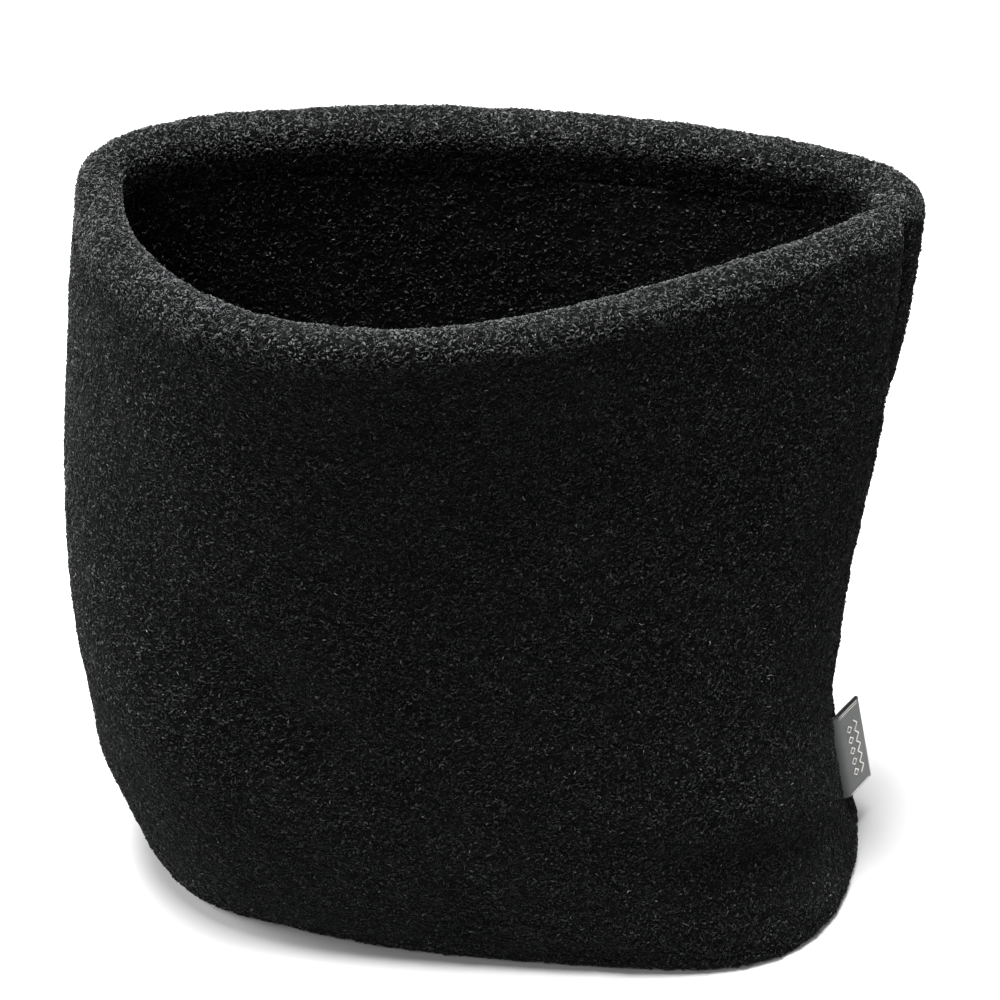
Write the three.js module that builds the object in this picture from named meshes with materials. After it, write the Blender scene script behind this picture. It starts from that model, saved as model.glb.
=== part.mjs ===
// Neck gaiter: a tube of thick fleece, an outer shell over an inner lining, standing on its lower rim.
// The shell rolls over both rims and is turned in over the lining's edges, where each rim is stitched.
// Each layer is one flat panel wrapped into a tube and closed by a stitched side seam, and a small
// woven label is caught in the shell's seam near the lower rim.
// Millimetres, +Z up. The wide way of the opening runs along X with the side seam at the +X end,
// and the origin is the middle of the footprint, on the surface that the gaiter stands on.
import * as THREE from 'three';

// Overall sizes
const FLAT_WIDTH = 270; // across the tube laid flat, half of its outer circumference
const HEIGHT = 242; // from rim to rim
const RIM_DROP = 4.6; // how far the upper rim sinks at its seam end, and rises at the other end

// Cloth and thread
const FLEECE = 4; // thickness of the shell
const LINING = 3.2; // thickness of the lining
const GAP = 0.3; // clearance between pieces that touch
const THREAD = 0.5; // diameter
const TURN_IN = 12; // how far the shell's edge runs down inside, past the roll of the rim
const EDGE_TAPER = 6; // length over which the turned-in edge thins out
const EDGE = 1.6; // thickness of the turned-in edge at its end
const FOOTING = 3; // width of the lower rim that is pressed flat against the surface

// Side seam: puffed by its allowances, with a groove along the stitches
const SEAM_SWELL = 0.22; // extra fullness of the wall beside the seam
const SEAM_SWELL_ANGLE = 0.45; // radians each side
const SEAM_DIP = 0.5; // loss of fullness at the seam itself
const SEAM_DIP_ANGLE = 0.08;
const SEAM_ANGLE = -1; // degrees from +X at the lower rim, towards the back
const SEAM_LEAN = 13; // degrees that the seam turns to the front as it climbs
const LEAN_FROM = 0.62; // shares of the height between which it turns
const LEAN_TO = 0.85;

// Side label, a woven tape folded into a loop
const LABEL_LENGTH = 30; // along the seam
const LABEL_REACH = 12; // from the seam to the fold
const LABEL_PLY = 0.35;
const LABEL_SLACK = 0.6; // between the two plies
const LABEL_RISE = 21; // its lower edge above the lower rim
const LABEL_LEAN = 68; // degrees that it lies over to the back
const LABEL_STANDOFF = 1.3; // its root outside the tube's plain outer face

// How the tube stands open, at four even heights from the lower rim to the upper one
const HALF_SPREAD = [0.354, 0.36, 0.37, 0.362]; // half the inside width, as a share of the flat width
const FRONT_SHARE = [0.6, 0.64, 0.67, 0.71]; // how much of the depth lies in front of the seam line
const FRONT_PINCH = [-0.23, 0.05, 0.27, 0.55]; // how far the front half narrows towards the seam
const BACK_PINCH = [0.03, 0.07, 0.09, 0.09];
const SQUARENESS = [0.52, 0.3, 0.09, -0.1]; // fullness of the two ends
const SIDE_SHIFT = [0.009, -0.047, -0.031, -0.002]; // along X, as a share of the flat width

// Fineness of the mesh
const COLUMNS = 46; // steps once around the tube
const FLOORS = 12; // steps up the wall between the turned-in edges
const BEND_STEPS = 4; // steps around each bend of the shell
const THREAD_STEPS = 3; // half the sides of a thread
const DEPTH_TRIES = 40; // halvings when the depth is found from the circumference

// Sizes that follow: across the wall, n runs from 0 at the rim's inner face to WALL at its outer face.
const THREAD_ROOM = THREAD + 2 * GAP; // what a thread takes up between two faces
const LINING_INNER = FLEECE + GAP; // the lining lies against the shell's turned-in edge
const LINING_OUTER = LINING_INNER + LINING;
const SHELL_INNER = LINING_OUTER + THREAD_ROOM; // the bobbin threads run between the layers
const WALL = SHELL_INNER + FLEECE;
const ROLL = WALL / 2; // radius of the upper rim
const ROLL_TOP = HEIGHT - ROLL; // height of the upper roll's middle
const FOOT = (WALL - FOOTING) / 2; // radius of the lower rim's two corners
const LOWER_END = FOOT + TURN_IN; // heights where the turned-in edges end
const UPPER_END = ROLL_TOP - TURN_IN;
const INSIDE_LENGTH = 2 * FLAT_WIDTH - 2 * Math.PI * WALL; // circumference at n = 0
const FULL_TURN = 2 * Math.PI;

// The cubic through four values that stand at even steps from t = 0 to t = 1.
function between([v0, v1, v2, v3], t) {
  const a = 3 * t;
  return (
    (v0 * (1 - a) * (2 - a) * (3 - a)) / 6 +
    (v1 * a * (2 - a) * (3 - a)) / 2 +
    (v2 * a * (a - 1) * (3 - a)) / 2 +
    (v3 * a * (a - 1) * (a - 2)) / 6
  );
}

// One level outline of the tube at n = 0: an ellipse whose front and back halves have their own depth,
// narrowed towards the seam and squared at the ends.
class Outline extends THREE.Curve {
  constructor(share) {
    super();
    this.halfWidth = FLAT_WIDTH * between(HALF_SPREAD, share);
    this.shift = FLAT_WIDTH * between(SIDE_SHIFT, share);
    this.frontShare = between(FRONT_SHARE, share);
    this.frontPinch = between(FRONT_PINCH, share);
    this.backPinch = between(BACK_PINCH, share);
    this.squareness = between(SQUARENESS, share);
    this.depth = this.depthForLength(INSIDE_LENGTH);
  }

  // The point at u, where u counts turns from +X, anticlockwise seen from above.
  getPoint(u, point = new THREE.Vector2()) {
    const angle = FULL_TURN * u;
    const across = Math.cos(angle);
    const front = Math.sin(angle) < 0;
    const half = this.depth * (front ? this.frontShare : 1 - this.frontShare);
    const pinch = 1 - across * (front ? this.frontPinch : this.backPinch);
    const ends = 1 + this.squareness * across * across;
    return point.set(this.shift + this.halfWidth * across, half * pinch * ends * Math.sin(angle));
  }

  // Cloth doesn't stretch, so the depth is whatever closes the outline at its given length.
  depthForLength(length) {
    let low = 0;
    let high = length;
    for (let i = 0; i < DEPTH_TRIES; i += 1) {
      this.depth = (low + high) / 2;
      this.needsUpdate = true;
      if (this.getLength() > length) high = this.depth;
      else low = this.depth;
    }
    return (low + high) / 2;
  }
}

const outlines = new Map();
function outlineAt(z) {
  if (!outlines.has(z)) outlines.set(z, new Outline(z / HEIGHT));
  return outlines.get(z);
}

// The side seam's place on the outline at height z, in turns from +X.
function seamTurn(z) {
  const leaned = THREE.MathUtils.smoothstep(z / HEIGHT, LEAN_FROM, LEAN_TO);
  return (SEAM_ANGLE - SEAM_LEAN * leaned) / 360;
}

// How full the wall is at an angle from the seam, in radians.
function fullness(angle) {
  const swell = SEAM_SWELL * Math.exp(-((angle / SEAM_SWELL_ANGLE) ** 2));
  const dip = SEAM_DIP * Math.exp(-((angle / SEAM_DIP_ANGLE) ** 2));
  return 1 + swell - dip;
}

// The point of the tube at n across the wall and height z, that lies some turns clockwise from the
// seam, seen from above, and then a few millimetres sideways, which counts anticlockwise.
function onTube(n, z, turned, sideways) {
  const outline = outlineAt(z);
  const turn = seamTurn(z) - turned;
  const wrapped = turn - Math.floor(turn);
  const base = outline.getPoint(wrapped);
  const along = outline.getTangent(wrapped);
  const fromSeam = FULL_TURN * Math.min(turned, 1 - turned);
  const reach = ROLL + (n - ROLL) * fullness(fromSeam);
  const x = base.x + along.y * reach + along.x * sideways;
  const y = base.y - along.x * reach + along.y * sideways;
  const drop = (RIM_DROP * (z / HEIGHT) * x) / (outline.halfWidth + WALL);
  return new THREE.Vector3(x, y, z - drop);
}

// Moves every vertex of a flat piece to where the place function says.
function bend(geometry, placeOf) {
  const position = geometry.getAttribute('position');
  for (let i = 0; i < position.count; i += 1) {
    const point = placeOf(position.getX(i), position.getY(i), position.getZ(i));
    position.setXYZ(i, point.x, point.y, point.z);
  }
  geometry.computeVertexNormals();
  return geometry;
}

// Eases u, from 0 to 1 once around, so that the steps are finest beside the seam.
function eased(u) {
  return u - Math.sin(FULL_TURN * u) / (2 * FULL_TURN);
}

// A flat panel wrapped once around the tube. Its stations run along the cloth from its lower end to
// its upper end, and each holds the [n, z] of the face on the left and of the face on the right of that
// way, drawn with n to the right and z up. Both side edges stop beside the seam, with room for its thread.
function wrappedPanel(stations) {
  const steps = stations.length - 1;
  const panel = new THREE.BoxGeometry(steps, 1, 1, steps, COLUMNS, 1);
  return bend(panel, (x, y, side) => {
    const station = stations[Math.round(x + steps / 2)];
    const [n, z] = side > 0 ? station.right : station.left;
    return onTube(n, z, eased(y + 0.5), y * THREAD_ROOM);
  });
}

// Stations around a bend of the shell, anticlockwise, whose right face has the given radius.
function bendStations(n, z, radius, from, to) {
  const inside = Math.max(radius - FLEECE, EDGE / 2);
  return Array.from({ length: BEND_STEPS + 1 }, (_, i) => {
    const angle = from + ((to - from) * i) / BEND_STEPS;
    const [out, up] = [Math.cos(angle), Math.sin(angle)];
    return { left: [n + inside * out, z + inside * up], right: [n + radius * out, z + radius * up] };
  });
}

// Stations up a wall between two faces. Both layers have theirs at the same heights.
function wallStations(left, right) {
  return Array.from({ length: FLOORS + 1 }, (_, i) => {
    const z = LOWER_END + ((UPPER_END - LOWER_END) * i) / FLOORS;
    return { left: [left, z], right: [right, z] };
  });
}

// The shell, from the edge turned in at the lower rim, round the foot, up the wall, over the upper
// rim and down to its other edge. Each edge thins out towards its end.
function shellStations() {
  const edge = (z, thickness) => ({ left: [FLEECE, z], right: [FLEECE - thickness, z] });
  return [
    edge(LOWER_END, EDGE),
    edge(LOWER_END - EDGE_TAPER, FLEECE),
    ...bendStations(FOOT, FOOT, FOOT, Math.PI, 1.5 * Math.PI),
    ...bendStations(WALL - FOOT, FOOT, FOOT, 1.5 * Math.PI, FULL_TURN),
    ...wallStations(SHELL_INNER, WALL),
    ...bendStations(ROLL, ROLL_TOP, ROLL, 0, Math.PI),
    edge(UPPER_END + EDGE_TAPER, FLEECE),
    edge(UPPER_END, EDGE),
  ];
}

// The lining: one layer whose ends are tucked into the rims. Its left face looks into the tube.
function liningStations() {
  const end = (z) => ({ left: [LINING_INNER, z], right: [LINING_OUTER, z] });
  return [end(FOOT), ...wallStations(LINING_INNER, LINING_OUTER), end(ROLL_TOP)];
}

function threadSection(n, z) {
  return new THREE.Shape().absarc(n, z, THREAD / 2, 0, FULL_TURN, false);
}

// A thread that runs around a rim at n and z, from one side of the seam to the other.
function rimThread(n, z) {
  const straight = new THREE.ExtrudeGeometry(threadSection(n, z), {
    depth: 1,
    steps: COLUMNS,
    curveSegments: THREAD_STEPS,
    bevelEnabled: false,
  });
  return bend(straight, (x, y, u) => onTube(x, y, eased(u), (u - 0.5) * THREAD_ROOM));
}

// A thread that runs up the side seam at n, between the turned-in edges.
function seamThread(n) {
  const straight = new THREE.ExtrudeGeometry(threadSection(n, 0), {
    depth: UPPER_END - LOWER_END,
    steps: FLOORS,
    curveSegments: THREAD_STEPS,
    bevelEnabled: false,
  });
  return bend(straight, (x, sideways, z) => onTube(x, LOWER_END + z, 0, sideways));
}

// The label's tape seen end on: out from the seam, round the fold and back.
function labelProfile() {
  const inner = LABEL_SLACK / 2;
  const outer = inner + LABEL_PLY;
  const foldAt = LABEL_REACH - outer;
  const profile = new THREE.Shape();
  profile.moveTo(0, -outer);
  profile.lineTo(foldAt, -outer);
  profile.absarc(foldAt, 0, outer, -Math.PI / 2, Math.PI / 2, false);
  profile.lineTo(0, outer);
  profile.lineTo(0, inner);
  profile.lineTo(foldAt, inner);
  profile.absarc(foldAt, 0, inner, Math.PI / 2, -Math.PI / 2, true);
  profile.lineTo(0, -inner);
  return profile;
}

// The label stands on the seam line: its own Z runs up the seam and its own X out to the fold.
function placeLabel(label) {
  const root = WALL + LABEL_STANDOFF;
  const foot = onTube(root, LABEL_RISE, 0, 0);
  const up = onTube(root, LABEL_RISE + LABEL_LENGTH, 0, 0).sub(foot).normalize();
  const outward = onTube(root + 1, LABEL_RISE, 0, 0).sub(foot);
  outward.addScaledVector(up, -outward.dot(up)).normalize();
  outward.applyAxisAngle(up, THREE.MathUtils.degToRad(LABEL_LEAN));
  const side = new THREE.Vector3().crossVectors(up, outward);
  label.quaternion.setFromRotationMatrix(new THREE.Matrix4().makeBasis(outward, side, up));
  label.position.copy(foot);
  return label;
}

const fleece = (color) => new THREE.MeshStandardMaterial({ color, roughness: 0.95, metalness: 0 });
const thread = () => new THREE.MeshStandardMaterial({ color: 0x17171a, roughness: 0.6, metalness: 0 });
const satin = () => new THREE.MeshStandardMaterial({ color: 0x3a3b3e, roughness: 0.4, metalness: 0 });

function piece(name, geometry, material) {
  const mesh = new THREE.Mesh(geometry, material);
  mesh.name = name;
  return mesh;
}

function cloth() {
  return [
    piece('outer_shell', wrappedPanel(shellStations()), fleece(0x1d1d1f)),
    piece('inner_lining', wrappedPanel(liningStations()), fleece(0x161618)),
  ];
}

// Each lockstitched seam has a needle thread on its outer side and a bobbin thread on its inner side.
function threads() {
  const slope = Math.hypot(EDGE_TAPER, FLEECE - EDGE) / EDGE_TAPER;
  const onTaper = (FLEECE - EDGE) / 2 - (GAP + THREAD / 2) * slope;
  const behindLining = (LINING_OUTER + SHELL_INNER) / 2;
  const upperStitch = UPPER_END + EDGE_TAPER / 2;
  const lowerStitch = LOWER_END - EDGE_TAPER / 2;
  const pair = (THREAD + GAP) / 2;
  const shellMiddle = (SHELL_INNER + WALL) / 2;
  const liningMiddle = (LINING_INNER + LINING_OUTER) / 2;
  return [
    piece('upper_rim_needle_thread', rimThread(onTaper, upperStitch), thread()),
    piece('upper_rim_bobbin_thread', rimThread(behindLining, upperStitch), thread()),
    piece('lower_rim_needle_thread', rimThread(onTaper, lowerStitch), thread()),
    piece('lower_rim_bobbin_thread', rimThread(behindLining, lowerStitch), thread()),
    piece('shell_seam_needle_thread', seamThread(shellMiddle + pair), thread()),
    piece('shell_seam_bobbin_thread', seamThread(shellMiddle - pair), thread()),
    piece('lining_seam_needle_thread', seamThread(liningMiddle - pair), thread()),
    piece('lining_seam_bobbin_thread', seamThread(liningMiddle + pair), thread()),
  ];
}

function sideLabel() {
  const tape = new THREE.ExtrudeGeometry(labelProfile(), {
    depth: LABEL_LENGTH,
    curveSegments: BEND_STEPS,
    bevelEnabled: false,
  });
  return placeLabel(piece('side_label', tape, satin()));
}

const gaiter = new THREE.Group();
gaiter.add(...cloth(), ...threads(), sideLabel());

// The origin goes to the middle of the shell's box.
const middle = new THREE.Box3().setFromObject(gaiter.children[0]).getCenter(new THREE.Vector3());
gaiter.position.set(-middle.x, -middle.y, 0);

export default gaiter;
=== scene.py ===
"""The neck gaiter's looks: black napped fleece, its seams and its woven side label, around the CAD frame.

Lengths are millimetres in the tube's own frame until a mesh is made, which is in metres in the row frame.
"""

import math

import bpy
import numpy as np
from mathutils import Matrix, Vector


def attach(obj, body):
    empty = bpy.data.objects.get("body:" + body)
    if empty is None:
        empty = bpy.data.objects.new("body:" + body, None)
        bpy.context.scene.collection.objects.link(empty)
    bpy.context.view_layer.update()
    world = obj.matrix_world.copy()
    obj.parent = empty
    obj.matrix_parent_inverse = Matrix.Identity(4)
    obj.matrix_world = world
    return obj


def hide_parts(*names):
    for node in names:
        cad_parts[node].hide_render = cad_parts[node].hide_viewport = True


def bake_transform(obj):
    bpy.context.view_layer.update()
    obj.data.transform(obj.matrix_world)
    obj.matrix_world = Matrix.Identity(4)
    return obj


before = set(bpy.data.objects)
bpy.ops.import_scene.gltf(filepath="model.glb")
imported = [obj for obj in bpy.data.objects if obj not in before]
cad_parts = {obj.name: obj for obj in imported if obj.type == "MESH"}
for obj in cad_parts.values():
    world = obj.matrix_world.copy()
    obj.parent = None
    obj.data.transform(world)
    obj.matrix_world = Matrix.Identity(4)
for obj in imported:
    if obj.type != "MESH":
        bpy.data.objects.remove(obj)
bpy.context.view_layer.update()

MM = 0.001
FULL_TURN = 2 * math.pi

# The tube, with the CAD's own sizes
FLAT_WIDTH = 270
HEIGHT = 242
RIM_DROP = 4.6
FLEECE = 4
LINING = 3.2
GAP = 0.3
THREAD = 0.5
TURN_IN = 12
EDGE_TAPER = 6
FOOTING = 3
SEAM_SWELL = 0.22
SEAM_SWELL_ANGLE = 0.45
SEAM_ANGLE = -1
LEAN_FROM = 0.62
LEAN_TO = 0.85
LABEL_PLY = 0.35
LABEL_SLACK = 0.6
# Of the level outline, at four even heights from the floor up
HALF_SPREAD = (0.354, 0.36, 0.37, 0.362)
FRONT_SHARE = (0.6, 0.64, 0.67, 0.71)
FRONT_PINCH = (-0.23, 0.05, 0.27, 0.55)
BACK_PINCH = (0.03, 0.07, 0.09, 0.09)
SQUARENESS = (0.52, 0.3, 0.09, -0.1)
SIDE_SHIFT = (0.009, -0.047, -0.031, -0.002)
# Worked out from these
THREAD_ROOM = THREAD + 2 * GAP
LINING_INNER = FLEECE + GAP
LINING_OUTER = LINING_INNER + LINING
SHELL_INNER = LINING_OUTER + THREAD_ROOM
WALL = SHELL_INNER + FLEECE
ROLL = WALL / 2
ROLL_TOP = HEIGHT - ROLL
FOOT = (WALL - FOOTING) / 2
LOWER_END = FOOT + TURN_IN
UPPER_END = ROLL_TOP - TURN_IN
INSIDE_LENGTH = 2 * FLAT_WIDTH - FULL_TURN * WALL

# What the cloth has beyond the CAD: a seam drawn tight, soft edges, dents and a rough surface
SEAM_LEAN = 9  # degrees, a little less than the CAD's
SEAM_DIP = 0.62
SEAM_DIP_LOW = 0.2  # the dip's share that is left at the foot, where the seam lies open
SEAM_DIP_ANGLE = 0.075  # radians each side
SEAM_DIP_POWER = 1.25
EDGE_STANDS = 2.4  # how proud of the lining the turned-in edge ends
LINING_PAD = 2.4  # how far the lining swells out to meet that edge
LINING_PAD_FADE = 30
LUMP_SIZES = (13, 3.4, 1.9)  # widths of the surface's lumps; the next two are their heights
SHELL_LUMPS = (0.3, 0.26, 0.2)
LINING_LUMPS = (0.2, 0.2, 0.15)
SHELL_COLUMNS = 440
LINING_COLUMNS = 340
FACE_STEP = 1.5  # lengths of the meshes' steps up the wall
HIDDEN_STEP = 20
LINING_STEP = 1.8

# The label, a few millimetres off its CAD solid but on the same hinge
LABEL_LENGTH = 33
LABEL_REACH = 10.5
LABEL_RISE = 17.8
LABEL_LEAN = 51  # degrees from straight out
LABEL_STANDOFF = -0.4  # its root's height over the wall
LABEL_ROOT = 3.4  # how deep the label's plies go into the seam
LABEL_BEND = (-2.2, 1.2)  # distances from the root between which the label bends over
LABEL_WAVE = 0.25
LABEL_WAVE_FROM = 3

# The label's woven motif, and the stitches
MOTIF_THREAD = 0.46
END_LINE_THREAD = 0.22
END_LINES = (0.5, LABEL_LENGTH - 1.2, LABEL_LENGTH - 0.4)
MOTIF_MARGIN = 5
MOTIF_PITCH = 4.4
MOTIF_SWING = 0.8
ZIGZAG_REACH = 7.0
DIAMOND_REACH = 3.9
DIAMOND = 1.35
STITCH = 3
STITCH_DIP = 0.3  # how far the rims' threads dip between stitches

# Gloss, and colours as linear red, green and blue
FLEECE_SPECULAR = 0.02
GROUND_SHEEN = 0.015
NAP_SHEEN = 0.085
SHELL_DARK = (0.0005, 0.0005, 0.0005)
SHELL_LIGHT = (0.0075, 0.0076, 0.0076)
LINING_DARK = (0.0005, 0.0005, 0.0005)
LINING_LIGHT = (0.0085, 0.0086, 0.0086)
SHELL_NAP = [
    (0.0, (0.0006, 0.0006, 0.0006)),
    (0.3, (0.0028, 0.0028, 0.0028)),
    (0.9, (0.042, 0.0425, 0.043)),
    (1.0, (0.16, 0.16, 0.16)),
]
LINING_NAP = [
    (0.0, (0.0008, 0.0008, 0.0008)),
    (0.3, (0.005, 0.005, 0.005)),
    (0.9, (0.06, 0.0605, 0.061)),
    (1.0, (0.18, 0.18, 0.18)),
]
LABEL_DARK = (0.018, 0.0195, 0.019)
LABEL_LIGHT = (0.078, 0.084, 0.081)
THREAD_DARK = (0.006, 0.006, 0.007)
THREAD_LIGHT = (0.03, 0.03, 0.033)
MOTIF_DARK = (0.5, 0.49, 0.46)
MOTIF_LIGHT = (0.85, 0.84, 0.8)
FLOOR_DARK = (0.36, 0.36, 0.36)
FLOOR_LIGHT = (0.38, 0.38, 0.38)

# Grain of the materials: the noises' feature sizes in metres, and the scales of the wave textures
CURL_SIZE = 0.0012
CLUMP_SIZE = 0.0026
DRIFT_SIZE = 0.03
UNEVEN_SIZE = 0.004
MOTIF_GRAIN_SIZE = 0.0003
FLOOR_GRAIN_SIZE = 0.4
WEFT_SCALE = 1 / 0.0011
FLOAT_SCALE = 1 / 0.0016
TWIST_SCALE = 300

# Nap: short curled tufts of fibre that lie on the cloth
TUFTS_IN_A_PIECE = 18000
SHELL_TUFTS = 234000
LINING_TUFTS = 90000
TUFT_RINGS = 2  # rings of three corners along each tuft, before its tip
TUFT_POINTS = 3 * TUFT_RINGS + 1
TUFT_LENGTH = (0.7, 1.6)
TUFT_RADIUS = (0.065, 0.13)
CLUMP_RADIUS = (0.18, 0.34)
CLUMP_SHARE = 0.22
TUFT_RISE = (0.15, 0.7)
TUFT_CURL = 1.9  # radians that a tuft may turn aside at each ring
TUFT_START = -0.1  # its foot and its tip, as shares of its rise
TUFT_TIP = 0.6
SHADE_SPREAD = (1.4, 3.4)  # the beta distribution of the tufts' shades
MOST_SHADE = 0.9
NAP_DEPTH = 0.6
STRAY_SHARE = 0.006
RIM_DENSITY = 1.5
RIM_PAINTED_HIGHLIGHT = 1.1  # painted highlight: how much paler the tufts are made along the rim's top, where the overhead light falls
# How far below the rim's top the painted highlight fades out, in mm
RIM_HIGHLIGHT_FADE = 4

# Dents and bulges that the soft wall has taken: turned and z of the middle, half length and half width
# along the wall, tilt in degrees from level, and millimetres outward. The last makes room for the label.
DENTS = (
    (0.337, 112, 50, 14, 47, -4.6),
    (0.4, 84, 34, 20, 47, 3.8),
    (0.115, 62, 46, 14, 20, 3.2),
    (0.1, 34, 42, 11, 18, -2.6),
    (0.22, 0, 75, 12, 0, -2.4),
    (0.365, 0, 30, 15, 0, -4.4),
    (0.45, 52, 24, 14, 0, 1.6),
    (0.03, 14, 20, 16, 0, -2.6),
    (0.015, 66, 26, 18, 0, -1.5),
    (0.0115, 44, 8, 17, 0, -1.8),
)

# The stage: the camera in degrees and mm, the floor in metres
CAMERA_ELEVATION = 39.415
CAMERA_DISTANCE = 936.7
CAMERA_TARGET = (-0.951, 0, 131.97)
CAMERA_LENS = 119.8
FLOOR_RADIUS = 1.0
WORLD_FILL = 0.12


def between(values, t):
    """The cubic through four values that stand at even steps from t = 0 to t = 1."""
    v0, v1, v2, v3 = values
    a = 3 * t
    return (
        v0 * (1 - a) * (2 - a) * (3 - a) / 6
        + v1 * a * (2 - a) * (3 - a) / 2
        + v2 * a * (a - 1) * (3 - a) / 2
        + v3 * a * (a - 1) * (a - 2) / 6
    )


def smoothstep(x, low, high):
    t = np.clip((x - low) / (high - low), 0, 1)
    return t * t * (3 - 2 * t)


def outline(angle, share, depth):
    """The level outline at n = 0: x and y at an angle, a share of the height and a depth."""
    across = np.cos(angle)
    front = np.sin(angle) < 0
    front_share = between(FRONT_SHARE, share)
    half = depth * np.where(front, front_share, 1 - front_share)
    pinch = 1 - across * np.where(front, between(FRONT_PINCH, share), between(BACK_PINCH, share))
    ends = 1 + between(SQUARENESS, share) * across**2
    x = FLAT_WIDTH * (between(SIDE_SHIFT, share) + between(HALF_SPREAD, share) * across)
    return x, half * pinch * ends * np.sin(angle)


def depths_for_length(shares, length):
    """The depth that closes the outline at the given length, for each share of the height."""
    angle = np.linspace(0, FULL_TURN, 721)
    low = np.zeros_like(shares)
    high = np.full_like(shares, length)
    for _ in range(40):
        depth = (low + high) / 2
        x, y = outline(angle[None, :], shares[:, None], depth[:, None])
        too_long = np.hypot(np.diff(x), np.diff(y)).sum(axis=1) > length
        high = np.where(too_long, depth, high)
        low = np.where(too_long, low, depth)
    return depth


SHARES = np.linspace(0, 1, 61)
DEPTHS = depths_for_length(SHARES, INSIDE_LENGTH)


def seam_turn(z):
    """The side seam's place on the outline at height z, in turns from +X."""
    return (SEAM_ANGLE - SEAM_LEAN * smoothstep(z / HEIGHT, LEAN_FROM, LEAN_TO)) / 360


def fullness(angle, z):
    """How full the wall is at an angle from the seam, in radians, and a height z."""
    swell = SEAM_SWELL * np.exp(-((angle / SEAM_SWELL_ANGLE) ** 2))
    tight = SEAM_DIP_LOW + (1 - SEAM_DIP_LOW) * smoothstep(z / HEIGHT, 0.25, 0.6)
    dip = SEAM_DIP * tight * np.exp(-((angle / SEAM_DIP_ANGLE) ** SEAM_DIP_POWER))
    return 1 + swell - dip


def slump(turned, z):
    """How far the soft wall stands outward of its plain shape, the same for both layers."""
    total = np.zeros(np.broadcast(turned, z).shape)
    for centre_turn, centre_z, half_length, half_width, tilt, height in DENTS:
        a = ((turned - centre_turn + 0.5) % 1 - 0.5) * 2 * FLAT_WIDTH
        b = z - centre_z
        c, s = math.cos(math.radians(tilt)), math.sin(math.radians(tilt))
        along, across = a * c + b * s, b * c - a * s
        total = total + height * np.exp(-((along / half_length) ** 2) - (across / half_width) ** 2)
    return total


def on_tube(n, z, turned, slumped=True):
    """Points at n across the wall and height z, some turns clockwise from the seam, seen from above."""
    n, z, turned = np.broadcast_arrays(*[np.asarray(value, float) for value in (n, z, turned)])
    share = np.clip(z / HEIGHT, 0, 1)
    angle = FULL_TURN * (seam_turn(z) - turned)
    depth = np.interp(share, SHARES, DEPTHS)
    x, y = outline(angle, share, depth)
    nudge = 1e-4
    x1, y1 = outline(angle + nudge, share, depth)
    x0, y0 = outline(angle - nudge, share, depth)
    speed = np.hypot(x1 - x0, y1 - y0)
    along_x, along_y = (x1 - x0) / speed, (y1 - y0) / speed
    reach = ROLL + (n - ROLL) * fullness(FULL_TURN * np.minimum(turned, 1 - turned), z)
    if slumped:
        reach = reach + slump(turned, z)
    px = x + along_y * reach
    py = y - along_x * reach
    half_width = FLAT_WIDTH * between(HALF_SPREAD, share)
    drop = RIM_DROP * (z / HEIGHT) * px / (half_width + WALL)
    return np.stack([px, py, z - drop], axis=-1)


def eased(u):
    """Eases u, from 0 to 1 once around, so that the steps are finest beside the seam."""
    return u - np.sin(FULL_TURN * u) / (2 * FULL_TURN)


def arc(n, z, radius, start, end, steps=16):
    angles = np.linspace(start, end, steps)
    return [(n + radius * math.cos(a), z + radius * math.sin(a)) for a in angles]


def resampled(points, step):
    """Points on a polyline, about a step apart."""
    points = np.array(points, float)
    lengths = np.r_[0, np.cumsum(np.hypot(*np.diff(points, axis=0).T))]
    count = max(2, round(lengths[-1] / step) + 1)
    at = np.linspace(0, lengths[-1], count)
    return np.stack([np.interp(at, lengths, points[:, 0]), np.interp(at, lengths, points[:, 1])], axis=1)


def turned_edge(share):
    """The showing face's n where the shell is turned in, from the rim at share 0 to the edge at 1."""
    return (LINING_INNER - EDGE_STANDS) * smoothstep(share, 0, 1)


def shell_face_path():
    """The shell's showing face, from its edge inside the lower rim to its edge inside the upper one."""
    shares = np.linspace(0, 1, 9)
    return [
        *[(turned_edge(share), FOOT + TURN_IN * share) for share in shares[::-1]],
        *arc(FOOT, FOOT, FOOT, math.pi, 1.5 * math.pi)[1:],
        *arc(WALL - FOOT, FOOT, FOOT, 1.5 * math.pi, FULL_TURN),
        *arc(ROLL, ROLL_TOP, ROLL, 0, math.pi, 32)[:-1],
        *[(turned_edge(share), ROLL_TOP - TURN_IN * share) for share in shares],
    ]


def shell_hidden_path():
    """The shell's other face, the other way round."""
    back = LINING_INNER - GAP / 2
    fold = ROLL - FLEECE
    return [
        (back, UPPER_END),
        *arc(ROLL, ROLL_TOP, fold, math.pi, 0, 8),
        (SHELL_INNER, FOOT),
        (back, FOOT),
        (back, LOWER_END),
    ]


def lining_face_path():
    """The lining's showing face, from the upper rim down. It swells out to meet the shell's edges."""
    heights = np.arange(ROLL_TOP, FOOT, -LINING_STEP)
    from_edge = np.minimum(UPPER_END - heights, heights - LOWER_END)
    pad = np.where(from_edge > 0, LINING_PAD * np.exp(-np.abs(from_edge) / LINING_PAD_FADE), 0)
    return np.stack([LINING_INNER - pad, heights], axis=1)


def lattice_noise(points, size, seed):
    """Smooth noise from -1 to 1, with features about size wide."""
    cells = 64
    values = np.random.default_rng(seed).uniform(-1, 1, (cells, cells, cells))
    place = points / size
    cell = np.floor(place).astype(int)
    part = place - cell
    part = part * part * (3 - 2 * part)
    total = np.zeros(points.shape[:-1])
    for corner in np.ndindex(2, 2, 2):
        weight = np.prod(np.where(corner, part, 1 - part), axis=-1)
        i, j, k = np.moveaxis((cell + corner) % cells, -1, 0)
        total += weight * values[i, j, k]
    return total


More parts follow.
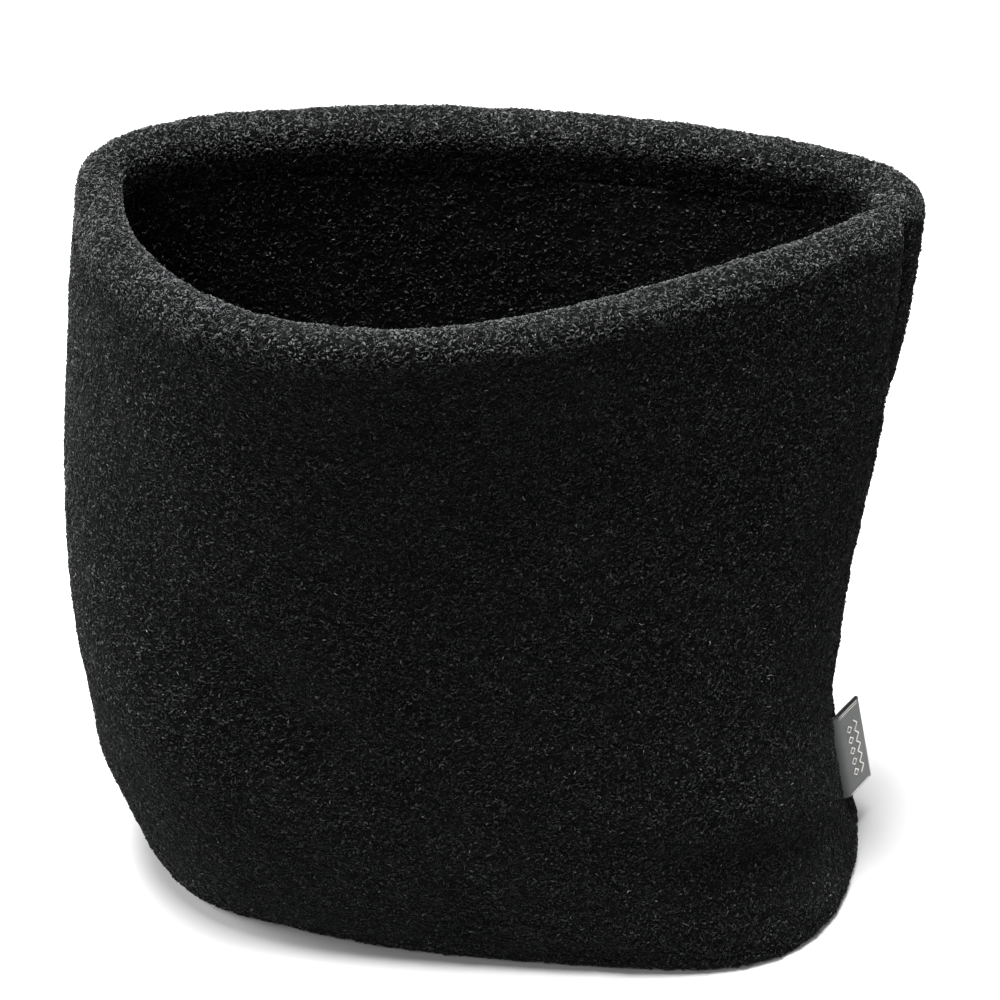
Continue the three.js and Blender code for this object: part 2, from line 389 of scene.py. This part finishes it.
def grid_normals(points):
    """Unit normals of a grid of points that closes on itself both ways, pointing out."""
    forward = np.roll(points, -1, axis=0) - np.roll(points, 1, axis=0)
    along = np.roll(points, -1, axis=1) - np.roll(points, 1, axis=1)
    normals = np.cross(forward, along)
    return normals / np.maximum(np.linalg.norm(normals, axis=-1, keepdims=True), 1e-9)


def roughened(points, heights, seed):
    """A grid sunk by the nap's depth, but for its foot, and lumpy with these heights and LUMP_SIZES."""
    lumps = sum(
        height * lattice_noise(points, size, seed + number)
        for number, (height, size) in enumerate(zip(heights, LUMP_SIZES))
    )
    lumps -= NAP_DEPTH * smoothstep(points[..., 2], 0, 3)
    return above_floor(points + grid_normals(points) * lumps[..., None])


def above_floor(points):
    """The points, with any that are under the floor lifted on to it."""
    points = points.copy()
    points[..., 2] = np.maximum(points[..., 2], 0)
    return points


def tube_grid(path, columns):
    """Points of a closed path of [n, z] carried once around the tube."""
    turned = eased(np.arange(columns) / columns)
    return on_tube(path[:, 0][:, None], path[:, 1][:, None], turned[None, :])


def ring_quads(rows, columns):
    """The faces of a grid that closes on itself both ways."""
    i = np.arange(rows)[:, None]
    j = np.arange(columns)[None, :]
    i1, j1 = (i + 1) % rows, (j + 1) % columns
    quads = np.stack([i * columns + j, i1 * columns + j, i1 * columns + j1, i * columns + j1], axis=-1)
    return quads.reshape(-1, 4)


def make_object(name, points, faces, material, uv=None, shade=None):
    """A mesh object from points in mm, faces of three or four corners, and a map per face corner."""
    mesh = bpy.data.meshes.new(name)
    points = (np.asarray(points).reshape(-1, 3) - MIDDLE) * MM
    faces = np.asarray(faces)
    count, corners = faces.shape
    mesh.vertices.add(len(points))
    mesh.vertices.foreach_set("co", points.astype(np.float32).ravel())
    mesh.loops.add(count * corners)
    mesh.loops.foreach_set("vertex_index", faces.astype(np.int32).ravel())
    mesh.polygons.add(count)
    mesh.polygons.foreach_set("loop_start", np.arange(0, count * corners, corners, dtype=np.int32))
    mesh.polygons.foreach_set("use_smooth", np.ones(count, bool))
    if uv is not None:
        layer = mesh.uv_layers.new(name="OFBake")
        layer.uv.foreach_set("vector", np.asarray(uv, np.float32).ravel())
    if shade is not None:
        attribute = mesh.attributes.new("shade", "FLOAT", "POINT")
        attribute.data.foreach_set("value", np.asarray(shade, np.float32).ravel())
    mesh.update(calc_edges=True)
    mesh.validate()
    mesh.materials.append(material)
    piece = bpy.data.objects.new(name, mesh)
    bpy.context.scene.collection.objects.link(piece)
    return piece


def ring_map(rows, columns):
    """A map for a ring grid, once across for the columns and once up for the rows."""
    i = np.repeat(np.arange(rows), columns)
    j = np.tile(np.arange(columns), rows)
    corners = [(i, j), (i + 1, j), (i + 1, j + 1), (i, j + 1)]
    return np.stack([np.stack([b / columns, a / rows], axis=-1) for a, b in corners], axis=1)


# Materials


def add_node(tree, kind, **settings):
    node = tree.nodes.new(kind)
    for key, value in settings.items():
        if hasattr(node, key):
            setattr(node, key, value)
        else:
            node.inputs[key.replace("_", " ")].default_value = value
    return node


def new_material(name):
    material = bpy.data.materials.new(name)
    material.use_nodes = True
    tree = material.node_tree
    tree.nodes.clear()
    shader = add_node(tree, "ShaderNodeBsdfPrincipled")
    output = add_node(tree, "ShaderNodeOutputMaterial")
    tree.links.new(shader.outputs["BSDF"], output.inputs["Surface"])
    return material, tree, shader


def ramp(tree, source, stops):
    """A colour ramp from a socket. Each stop is (place, colour)."""
    node = add_node(tree, "ShaderNodeValToRGB")
    elements = node.color_ramp.elements
    while len(elements) < len(stops):
        elements.new(0.5)
    for element, (place, colour) in zip(elements, stops):
        element.position = place
        element.color = (*colour, 1)
    tree.links.new(source, node.inputs["Fac"])
    return node.outputs["Color"]


def bump(tree, height, distance, strength, under=None):
    node = add_node(tree, "ShaderNodeBump")
    node.inputs["Distance"].default_value = distance
    node.inputs["Strength"].default_value = strength
    tree.links.new(height, node.inputs["Height"])
    if under is not None:
        tree.links.new(under, node.inputs["Normal"])
    return node.outputs["Normal"]


def noise(tree, place, size, detail=2.0, distortion=0.0):
    """Noise with features about size metres wide."""
    node = add_node(tree, "ShaderNodeTexNoise", noise_type="FBM")
    node.inputs["Scale"].default_value = 1 / size
    node.inputs["Detail"].default_value = detail
    node.inputs["Distortion"].default_value = distortion
    tree.links.new(place, node.inputs["Vector"])
    return node.outputs["Fac"]


def set_fleece_shader(shader, roughness, sheen):
    shader.inputs["Roughness"].default_value = roughness
    shader.inputs["Specular IOR Level"].default_value = FLEECE_SPECULAR
    shader.inputs["Sheen Weight"].default_value = sheen
    shader.inputs["Sheen Roughness"].default_value = 0.38
    shader.inputs["Sheen Tint"].default_value = (0.93, 0.97, 1.0, 1)


def weighed_sum(tree, sockets_and_weights):
    """The sum of some value sockets, each times its weight."""
    total = None
    for socket, weight in sockets_and_weights:
        node = add_node(tree, "ShaderNodeMath", operation="MULTIPLY_ADD")
        tree.links.new(socket, node.inputs[0])
        node.inputs[1].default_value = weight
        if total is None:
            node.inputs[2].default_value = 0
        else:
            tree.links.new(total, node.inputs[2])
        total = node.outputs[0]
    return total


def fleece_material(name, dark, light):
    """The felted ground under the nap: clumps, a curly grain and a slight drift of colour."""
    material, tree, shader = new_material(name)
    set_fleece_shader(shader, 0.95, GROUND_SHEEN)
    place = add_node(tree, "ShaderNodeTexCoord").outputs["Object"]
    curls = noise(tree, place, CURL_SIZE, 4.0, 1.8)
    clumps = noise(tree, place, CLUMP_SIZE, 2.0, 0.6)
    drift = noise(tree, place, DRIFT_SIZE, 2.0)
    tone = weighed_sum(tree, [(curls, 0.55), (clumps, 0.3), (drift, 0.15)])
    middle = tuple((low + high) / 5 for low, high in zip(dark, light))
    colour = ramp(tree, tone, [(0.42, dark), (0.52, middle), (0.66, light)])
    tree.links.new(colour, shader.inputs["Base Color"])
    normal = bump(tree, clumps, 0.0009, 0.9)
    normal = bump(tree, curls, 0.0006, 1.0, normal)
    tree.links.new(normal, shader.inputs["Normal"])
    return material


def tuft_material(name, stops):
    """Fibre tufts: each has a shade of its own, and a few stray ones are much lighter."""
    material, tree, shader = new_material(name)
    set_fleece_shader(shader, 0.75, NAP_SHEEN)
    shade = add_node(tree, "ShaderNodeAttribute", attribute_name="shade")
    colour = ramp(tree, shade.outputs["Fac"], stops)
    tree.links.new(colour, shader.inputs["Base Color"])
    return material


def thread_material():
    """Spun thread: fine slanting plies."""
    material, tree, shader = new_material("sewing_thread")
    shader.inputs["Roughness"].default_value = 0.6
    shader.inputs["Sheen Weight"].default_value = 0.25
    place = add_node(tree, "ShaderNodeTexCoord").outputs["UV"]
    wave = add_node(tree, "ShaderNodeTexWave", bands_direction="DIAGONAL")
    wave.inputs["Scale"].default_value = TWIST_SCALE
    tree.links.new(place, wave.inputs["Vector"])
    colour = ramp(tree, wave.outputs["Fac"], [(0.0, THREAD_DARK), (1.0, THREAD_LIGHT)])
    tree.links.new(colour, shader.inputs["Base Color"])
    tree.links.new(bump(tree, wave.outputs["Fac"], 0.0001, 0.6), shader.inputs["Normal"])
    return material


def tape_material():
    """Woven satin: weft ribs across the tape and fine slanting floats."""
    material, tree, shader = new_material("label_tape")
    shader.inputs["Roughness"].default_value = 0.42
    shader.inputs["Anisotropic"].default_value = 0.5
    shader.inputs["Sheen Weight"].default_value = 0.15
    place = add_node(tree, "ShaderNodeTexCoord").outputs["Object"]
    weft = add_node(tree, "ShaderNodeTexWave", bands_direction="Z", wave_profile="SIN")
    weft.inputs["Scale"].default_value = WEFT_SCALE
    weft.inputs["Distortion"].default_value = 0.4
    tree.links.new(place, weft.inputs["Vector"])
    float_threads = add_node(tree, "ShaderNodeTexWave", bands_direction="DIAGONAL", wave_profile="SIN")
    float_threads.inputs["Scale"].default_value = FLOAT_SCALE
    tree.links.new(place, float_threads.inputs["Vector"])
    both = add_node(tree, "ShaderNodeMath", operation="MULTIPLY")
    tree.links.new(weft.outputs["Fac"], both.inputs[0])
    tree.links.new(float_threads.outputs["Fac"], both.inputs[1])
    unevenness = noise(tree, place, UNEVEN_SIZE, 3.0)
    tone = weighed_sum(tree, [(unevenness, 0.5), (both.outputs[0], 1.0)])
    colour = ramp(tree, tone, [(0.1, LABEL_DARK), (1.1, LABEL_LIGHT)])
    tree.links.new(colour, shader.inputs["Base Color"])
    tree.links.new(bump(tree, both.outputs[0], 0.00012, 0.7), shader.inputs["Normal"])
    return material


def motif_material():
    """Off-white woven thread with a fine uneven tone."""
    material, tree, shader = new_material("label_motif_thread")
    shader.inputs["Roughness"].default_value = 0.6
    shader.inputs["Sheen Weight"].default_value = 0.2
    place = add_node(tree, "ShaderNodeTexCoord").outputs["Object"]
    grain = noise(tree, place, MOTIF_GRAIN_SIZE, 3.0, 0.5)
    colour = ramp(tree, grain, [(0.3, MOTIF_DARK), (0.6, MOTIF_LIGHT)])
    tree.links.new(colour, shader.inputs["Base Color"])
    tree.links.new(bump(tree, grain, 0.00008, 0.6), shader.inputs["Normal"])
    return material


# Pieces


def cloth_tube(name, face, hidden, columns, lumps, seed, material):
    """A closed layer of cloth: its showing face roughened, its hidden face plain."""
    path = np.concatenate([face, hidden])
    points = tube_grid(path, columns)
    moved = roughened(points, lumps, seed)
    points[: len(face)] = moved[: len(face)]
    quads = ring_quads(len(path), columns)
    cloth = make_object(name, points, quads, material, ring_map(len(path), columns))
    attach(cloth, "tube")
    showing = quads[: (len(face) - 1) * columns]
    return cloth, points.reshape(-1, 3), showing


def make_shell():
    face = resampled(shell_face_path(), FACE_STEP)
    hidden = resampled(shell_hidden_path(), HIDDEN_STEP)
    ground = fleece_material("shell_fleece", SHELL_DARK, SHELL_LIGHT)
    shell, points, showing = cloth_tube("shell_cloth", face, hidden, SHELL_COLUMNS, SHELL_LUMPS, 11, ground)
    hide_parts("outer_shell")
    pile = tuft_material("shell_nap", SHELL_NAP)
    nap = tufts("shell_nap", points, showing, SHELL_TUFTS, pile, 31)
    return shell


def make_lining():
    face = lining_face_path()
    hidden = resampled([(LINING_OUTER, FOOT), (LINING_OUTER, ROLL_TOP)], HIDDEN_STEP)
    ground = fleece_material("lining_fleece", LINING_DARK, LINING_LIGHT)
    lining, points, showing = cloth_tube(
        "lining_cloth", face, hidden, LINING_COLUMNS, LINING_LUMPS, 21, ground
    )
    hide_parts("inner_lining")
    pile = tuft_material("lining_nap", LINING_NAP)
    nap = tufts("lining_nap", points, showing, LINING_TUFTS, pile, 41)
    return lining


def tuft_faces():
    """The faces of one tuft: a three-sided spindle with a closed root, as triangles."""
    faces = [(0, 2, 1)]
    for ring in range(TUFT_RINGS - 1):
        for side in range(3):
            a, b = 3 * ring + side, 3 * ring + (side + 1) % 3
            faces += [(a, b, b + 3), (a, b + 3, a + 3)]
    last = 3 * (TUFT_RINGS - 1)
    faces += [(last + side, last + (side + 1) % 3, 3 * TUFT_RINGS) for side in range(3)]
    return np.array(faces)


def tuft_map(count):
    """A map that gives each tuft one square cell, with its length up the cell."""
    faces = tuft_faces()
    across = math.ceil(math.sqrt(count))
    ring_of = np.minimum(np.arange(TUFT_POINTS) // 3, TUFT_RINGS) / TUFT_RINGS
    side_of = np.append(np.tile([0.0, 0.5, 1.0], TUFT_RINGS), 0.5)
    inside = np.stack([0.15 + 0.7 * side_of, 0.1 + 0.8 * ring_of], axis=1)[faces]
    cell = np.stack([np.arange(count) % across, np.arange(count) // across], axis=1)
    return (cell[:, None, None, :] + inside[None]) / across


def scatter(points, quads, count, rng):
    """Random places on a surface: the point, the normal and a direction along the surface."""
    corners = points[quads]
    normals = np.cross(corners[:, 2] - corners[:, 0], corners[:, 3] - corners[:, 1])
    area = np.linalg.norm(normals, axis=1)
    height = corners[:, :, 2].mean(axis=1)
    off_floor = height > TUFT_RISE[1]
    on_rim = height > ROLL_TOP - RIM_DROP
    chance = area * off_floor * np.where(on_rim, RIM_DENSITY, 1)
    chosen = rng.choice(len(quads), count, p=chance / chance.sum())
    u, v = rng.random(count)[:, None], rng.random(count)[:, None]
    c = corners[chosen]
    place = (c[:, 0] * (1 - u) + c[:, 1] * u) * (1 - v) + (c[:, 3] * (1 - u) + c[:, 2] * u) * v
    normal = normals[chosen] / area[chosen][:, None]
    along = c[:, 1] - c[:, 0]
    along -= normal * (along * normal).sum(axis=1, keepdims=True)
    along /= np.linalg.norm(along, axis=1, keepdims=True)
    return place, normal, along


def tuft_points(place, normal, along, radius, rng):
    """The corners of curled tufts that start in the cloth, rise over it and come down again."""
    count = len(place)
    beside = np.cross(normal, along)
    heading = rng.uniform(0, FULL_TURN, count)
    curl = rng.uniform(-TUFT_CURL, TUFT_CURL, count)
    step = rng.uniform(*TUFT_LENGTH, count) / TUFT_RINGS
    rise = rng.uniform(*TUFT_RISE, count)
    lifts = np.linspace(TUFT_START, 1, TUFT_RINGS + 1)
    points = np.empty((count, TUFT_POINTS, 3))
    level = place
    for ring in range(TUFT_RINGS):
        turned = heading + curl * ring
        way = along * np.cos(turned)[:, None] + beside * np.sin(turned)[:, None]
        across = np.cross(normal, way)
        centre = level + normal * (lifts[ring] * rise)[:, None]
        for side in range(3):
            angle = FULL_TURN * side / 3
            offset = across * math.cos(angle) + normal * math.sin(angle)
            points[:, 3 * ring + side] = centre + offset * radius[:, None]
        level = level + way * step[:, None]
    points[:, -1] = level + normal * (rise * TUFT_TIP)[:, None]
    return above_floor(points)


def tufts(name, points, quads, count, material, seed):
    """Curled tufts of fibre strewn over a surface, in pieces of at most TUFTS_IN_A_PIECE."""
    rng = np.random.default_rng(seed)
    pieces = []
    for number in range(math.ceil(count / TUFTS_IN_A_PIECE)):
        here = min(TUFTS_IN_A_PIECE, count - number * TUFTS_IN_A_PIECE)
        thin = rng.uniform(*TUFT_RADIUS, here)
        thick = rng.uniform(*CLUMP_RADIUS, here)
        radius = np.where(rng.random(here) < CLUMP_SHARE, thick, thin)
        faces = tuft_faces()[None] + TUFT_POINTS * np.arange(here)[:, None, None]
        place, normal, along = scatter(points, quads, here, rng)
        # Painted highlight: the tufts along the rim's top are made paler, standing in for the overhead
        # light that falls there
        rim_highlight = 1 + RIM_PAINTED_HIGHLIGHT * smoothstep(place[:, 2], ROLL_TOP - RIM_HIGHLIGHT_FADE, ROLL_TOP)
        shade = np.minimum(rng.beta(*SHADE_SPREAD, here) * rim_highlight, MOST_SHADE)
        corners = tuft_points(place, normal, along, radius, rng)
        shade[(rng.random(here) < STRAY_SHARE) & (radius < TUFT_RADIUS[1])] = 1.0
        shades = np.repeat(shade, TUFT_POINTS)
        triangles = faces.reshape(-1, 3)
        piece = make_object(f"{name}_{number + 1}", corners, triangles, material, tuft_map(here), shades)
        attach(piece, "tube")
        pieces.append(piece)
    return pieces


def capped(quads, sides, count):
    """The faces of an open six-sided tube of count rings, with a cap on each end."""
    last = (count - 1) * sides
    first_cap = [(3, 2, 1, 0), (5, 4, 3, 0)]
    last_cap = [(last, last + 1, last + 2, last + 3), (last, last + 3, last + 4, last + 5)]
    return np.concatenate([quads, first_cap, last_cap])


def tube_along(centre, out, radius, closed):
    """A round thread along a line of points: its corners, faces and map."""
    sides = 6
    count = len(centre)
    if closed:
        way = np.roll(centre, -1, axis=0) - np.roll(centre, 1, axis=0)
    else:
        way = np.gradient(centre, axis=0)
    way /= np.linalg.norm(way, axis=1, keepdims=True)
    out = out - way * (out * way).sum(axis=1, keepdims=True)
    out /= np.linalg.norm(out, axis=1, keepdims=True)
    beside = np.cross(way, out)
    angle = FULL_TURN * np.arange(sides) / sides
    points = centre[:, None] + radius * (
        out[:, None] * np.cos(angle)[None, :, None] + beside[:, None] * np.sin(angle)[None, :, None]
    )
    quads = ring_quads(count, sides)[:, ::-1]
    uv = ring_map(count, sides)[:, ::-1]
    if not closed:
        quads = capped(quads[: (count - 1) * sides], sides, count)
        uv = np.concatenate([uv[: (count - 1) * sides], uv[:4]])
    return points, quads, uv


def stitched(name, node, n, low, high, turn, material, sink):
    """Lockstitches on the tube at n, which dip by sink between stitches: round it, or up the seam."""
    length = INSIDE_LENGTH if turn else high - low
    stitches = round(length / STITCH)
    t = np.linspace(0, 1, stitches * 6, endpoint=not turn)
    inward = 1 if n < ROLL else -1
    dips = sink * np.abs(np.cos(math.pi * t * stitches)) ** 6
    z = low + (high - low) * t
    centre = on_tube(n + inward * dips, z, turn * t)
    out = on_tube(n - inward, z, turn * t) - on_tube(n + inward, z, turn * t)
    points, quads, uv = tube_along(centre, out, THREAD / 2, bool(turn))
    thread = make_object(name, points, quads, material, uv)
    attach(thread, "tube")
    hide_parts(node)


def make_threads():
    material = thread_material()
    behind = (LINING_OUTER + SHELL_INNER) / 2
    showing = turned_edge(1 - EDGE_TAPER / 2 / TURN_IN) + NAP_DEPTH + 0.7 * THREAD
    upper, lower = UPPER_END + EDGE_TAPER / 2, LOWER_END - EDGE_TAPER / 2
    rims = [
        ("upper_rim_needle", showing, upper),
        ("upper_rim_bobbin", behind, upper),
        ("lower_rim_needle", showing, lower),
        ("lower_rim_bobbin", behind, lower),
    ]
    for name, n, z in rims:
        stitched(f"{name}_stitches", f"{name}_thread", n, z, z, 1, material, STITCH_DIP)
    pair = (THREAD + GAP) / 2
    # The seams' threads lie deeper than in the CAD, as the faces over them do.
    shell_middle = (SHELL_INNER + WALL) / 2 - NAP_DEPTH
    lining_middle = (LINING_INNER + LINING_OUTER) / 2 + NAP_DEPTH
    seams = [
        ("shell_seam_needle", shell_middle + pair),
        ("shell_seam_bobbin", shell_middle - pair),
        ("lining_seam_needle", lining_middle - pair),
        ("lining_seam_bobbin", lining_middle + pair),
    ]
    for name, n in seams:
        stitched(f"{name}_stitches", f"{name}_thread", n, LOWER_END, UPPER_END, 0, material, 0)


def label_frame():
    """The label's hinge line and directions: its foot, up the seam, out from the wall, and aside."""
    root = WALL + LABEL_STANDOFF
    foot = on_tube(root, LABEL_RISE, 0, slumped=False)
    up = on_tube(root, LABEL_RISE + LABEL_LENGTH, 0, slumped=False) - foot
    up /= np.linalg.norm(up)
    out = on_tube(root + 1, LABEL_RISE, 0, slumped=False) - foot
    out -= up * (out @ up)
    out /= np.linalg.norm(out)
    aside = np.cross(up, out)
    return foot, up, out, aside


def label_spine(reach):
    """Between the label's plies, at distances from its root: the place seen end on, and the heading."""
    steps = np.linspace(-LABEL_ROOT, LABEL_REACH, 200)
    headings = math.radians(LABEL_LEAN) * smoothstep(steps, *LABEL_BEND)
    stride = steps[1] - steps[0]
    out = np.cumsum(np.cos(headings)) * stride
    aside = np.cumsum(np.sin(headings)) * stride
    out -= np.interp(0, steps, out)
    aside -= np.interp(0, steps, aside)
    return np.interp(reach, steps, out), np.interp(reach, steps, aside), np.interp(reach, steps, headings)


def label_ply(reach, lift):
    """A ply's place seen end on, lift away from the spine: above 0 on the side that faces back."""
    out, aside, heading = label_spine(reach)
    return out - lift * np.sin(heading), aside + lift * np.cos(heading)


def label_section(lift):
    """The tape seen end on, from one root round the fold to the other, lift outside its middle."""
    bend = (LABEL_SLACK + LABEL_PLY) / 2
    reach = np.linspace(-LABEL_ROOT, LABEL_REACH - bend, 40)
    spread = bend * (0.2 + 0.8 * smoothstep(reach, -LABEL_ROOT, 2)) + lift
    back = np.stack(label_ply(reach, spread), axis=1)
    front = np.stack(label_ply(reach, -spread), axis=1)
    out, aside, heading = label_spine(reach[-1])
    angles = heading + np.linspace(0.5, -0.5, 14)[1:-1] * math.pi
    fold = np.stack([out + (bend + lift) * np.cos(angles), aside + (bend + lift) * np.sin(angles)], axis=1)
    return np.concatenate([back, fold, front[::-1]])


def label_wave(reach, height):
    """How far the free label waves aside."""
    return LABEL_WAVE * np.sin(height / 7) * smoothstep(reach, LABEL_WAVE_FROM, LABEL_REACH)


def label_places(section, heights):
    """Points of a section at each height, in the tube's frame."""
    foot, up, out, aside = label_frame()
    wave = label_wave(np.hypot(*section.T)[None, :], heights[:, None])
    level = foot + section[None, :, :1] * out + (section[None, :, 1:] + wave[..., None]) * aside
    return level + heights[:, None, None] * up


def slab_faces(rows, columns):
    """The faces that close two grids of the same size into a thick sheet."""
    total = rows * columns
    i = np.arange(rows - 1)[:, None]
    j = np.arange(columns - 1)[None, :]
    a = (i * columns + j).ravel()
    outside = np.stack([a, a + columns, a + columns + 1, a + 1], axis=1)
    inside = total + outside[:, ::-1]
    left = np.arange(rows - 1) * columns
    right = left + columns - 1
    bottom = np.arange(columns - 1)
    top = bottom + (rows - 1) * columns
    edges = [
        np.stack([left, left + total, left + columns + total, left + columns], axis=1),
        np.stack([right, right + columns, right + columns + total, right + total], axis=1),
        np.stack([bottom, bottom + 1, bottom + 1 + total, bottom + total], axis=1),
        np.stack([top, top + total, top + 1 + total, top + 1], axis=1),
    ]
    return np.concatenate([outside, inside, *edges])


def bend_with_label(piece):
    """Bakes a piece's placement into its mesh. The label's frame is worked out but not used, so the piece
    doesn't bend.
    """
    foot, _, out, aside = label_frame()
    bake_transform(piece)


def label_thread(line, radius):
    """A thread laid on the label's front ply along a line of [reach, height]: corners and faces."""
    foot, up, out, aside = label_frame()
    reach, height = line.T
    lift = -(LABEL_SLACK / 2 + LABEL_PLY + 0.4 * radius)
    x, y = label_ply(reach, lift)
    section = np.stack([x, y], axis=1)
    wave = label_wave(np.hypot(x, y), height)
    centre = foot + section[:, :1] * out + (section[:, 1:] + wave[:, None]) * aside + height[:, None] * up
    heading = label_spine(reach)[2]
    facing = np.sin(heading)[:, None] * out - np.cos(heading)[:, None] * aside
    points, quads, _ = tube_along(centre, facing, radius, False)
    return points.reshape(-1, 3), quads


def motif_lines():
    """The label's plain woven motif: a zigzag beside the fold and a row of diamonds beside the root."""
    heights = np.arange(MOTIF_MARGIN, LABEL_LENGTH - MOTIF_MARGIN + 0.01, MOTIF_PITCH / 2)
    swing = np.where(np.arange(len(heights)) % 2, 1, -1) * MOTIF_SWING
    zigzag = np.stack([ZIGZAG_REACH + swing, heights], axis=1)
    fine = np.linspace(0, len(heights) - 1, 6 * len(heights))
    lines = [np.stack([np.interp(fine, np.arange(len(heights)), column) for column in zigzag.T], axis=1)]
    for height in heights[1::2]:
        corners = [(0, -1), (0.8, 0), (0, 1), (-0.8, 0), (0, -0.9)]
        lines.append(np.array([(DIAMOND_REACH + DIAMOND * a, height + DIAMOND * b) for a, b in corners]))
    return lines


def end_lines():
    """The pale lines woven across the label's ends."""
    across = np.linspace(0.4, LABEL_REACH - 1.2, 12)
    return [np.stack([across, np.full(12, height)], axis=1) for height in END_LINES]


def make_motif():
    points, faces, total = [], [], 0
    threads = [(line, MOTIF_THREAD / 2) for line in motif_lines()]
    threads += [(line, END_LINE_THREAD / 2) for line in end_lines()]
    for line, radius in threads:
        corners, quads = label_thread(line, radius)
        points.append(corners)
        faces.append(quads + total)
        total += len(corners)
    motif = make_object("label_motif", np.concatenate(points), np.concatenate(faces), motif_material())
    bend_with_label(motif)
    return motif


def make_label():
    heights = np.linspace(0, LABEL_LENGTH, 44)
    outer = label_places(label_section(LABEL_PLY / 2), heights)
    inner = label_places(label_section(-LABEL_PLY / 2), heights)
    points = np.concatenate([outer.reshape(-1, 3), inner.reshape(-1, 3)])
    label = make_object("woven_label", points, slab_faces(*outer.shape[:2]), tape_material())
    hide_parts("side_label")
    bend_with_label(label)
    motif = make_motif()


# Stage


def floor_material():
    material, tree, shader = new_material("floor_paper")
    shader.inputs["Roughness"].default_value = 0.9
    place = add_node(tree, "ShaderNodeTexCoord").outputs["Object"]
    grain = noise(tree, place, FLOOR_GRAIN_SIZE)
    colour = ramp(tree, grain, [(0.3, FLOOR_DARK), (0.7, FLOOR_LIGHT)])
    tree.links.new(colour, shader.inputs["Base Color"])
    return material


def make_floor():
    bpy.ops.mesh.primitive_circle_add(vertices=96, radius=FLOOR_RADIUS, fill_type="NGON")
    floor = bpy.context.active_object
    floor.name = "floor"
    floor.data.materials.append(floor_material())
    return floor


def make_camera():
    e = math.radians(CAMERA_ELEVATION)
    back = np.array([0, -math.cos(e), math.sin(e)])
    data = bpy.data.cameras.new("camera")
    data.sensor_width = 36
    data.lens = CAMERA_LENS
    camera = bpy.data.objects.new("camera", data)
    camera.location = (np.array(CAMERA_TARGET) - MIDDLE + back * CAMERA_DISTANCE) * MM
    camera.rotation_euler = (math.radians(90 - CAMERA_ELEVATION), 0, 0)
    bpy.context.scene.collection.objects.link(camera)
    bpy.context.scene.camera = camera


def area_light(name, place, aim, size, power, colour=(1, 1, 1)):
    data = bpy.data.lights.new(name, "AREA")
    data.shape = "DISK"
    data.size = size
    data.energy = power
    data.color = colour
    light = bpy.data.objects.new(name, data)
    light.location = place
    light.rotation_euler = (Vector(aim) - Vector(place)).to_track_quat("-Z", "Y").to_euler()
    bpy.context.scene.collection.objects.link(light)


def make_world():
    """A dim studio round the object, with a white backdrop that shows but doesn't light it."""
    world = bpy.data.worlds.new("studio")
    world.use_nodes = True
    tree = world.node_tree
    tree.nodes.clear()
    fill = add_node(tree, "ShaderNodeBackground", Color=(1, 1, 1, 1), Strength=WORLD_FILL)
    backdrop = add_node(tree, "ShaderNodeBackground", Color=(1, 1, 1, 1), Strength=1.0)
    either = add_node(tree, "ShaderNodeMixShader")
    output = add_node(tree, "ShaderNodeOutputWorld")
    seen = add_node(tree, "ShaderNodeLightPath").outputs["Is Camera Ray"]
    tree.links.new(seen, either.inputs["Fac"])
    tree.links.new(fill.outputs[0], either.inputs[1])
    tree.links.new(backdrop.outputs[0], either.inputs[2])
    tree.links.new(either.outputs[0], output.inputs["Surface"])
    bpy.context.scene.world = world


def make_lights():
    area_light("overhead_softbox", (-0.15, -0.1, 1.6), (0, 0, 0.15), 0.7, 130)
    area_light("left_softbox", (-1.3, 0.15, 0.9), (0, 0, 0.12), 0.6, 30)
    area_light("front_softbox", (-0.7, -1.1, 1.5), (0, 0, 0.15), 0.6, 16)
    area_light("right_softbox", (1.2, 0.35, 0.7), (0, 0, 0.12), 0.5, 9)
    make_world()
    bpy.context.scene.view_settings.view_transform = "Standard"


def plain_shell_middle():
    """The middle of the shell's box before it is roughened, which is the row frame's origin."""
    outer = tube_grid(resampled(shell_face_path(), 3), SHELL_COLUMNS).reshape(-1, 3)
    low, high = outer.min(axis=0), outer.max(axis=0)
    return np.array([(low[0] + high[0]) / 2, (low[1] + high[1]) / 2, 0])


MIDDLE = plain_shell_middle()

make_camera()
make_lights()
make_floor()
make_shell()
make_lining()
make_threads()
make_label()
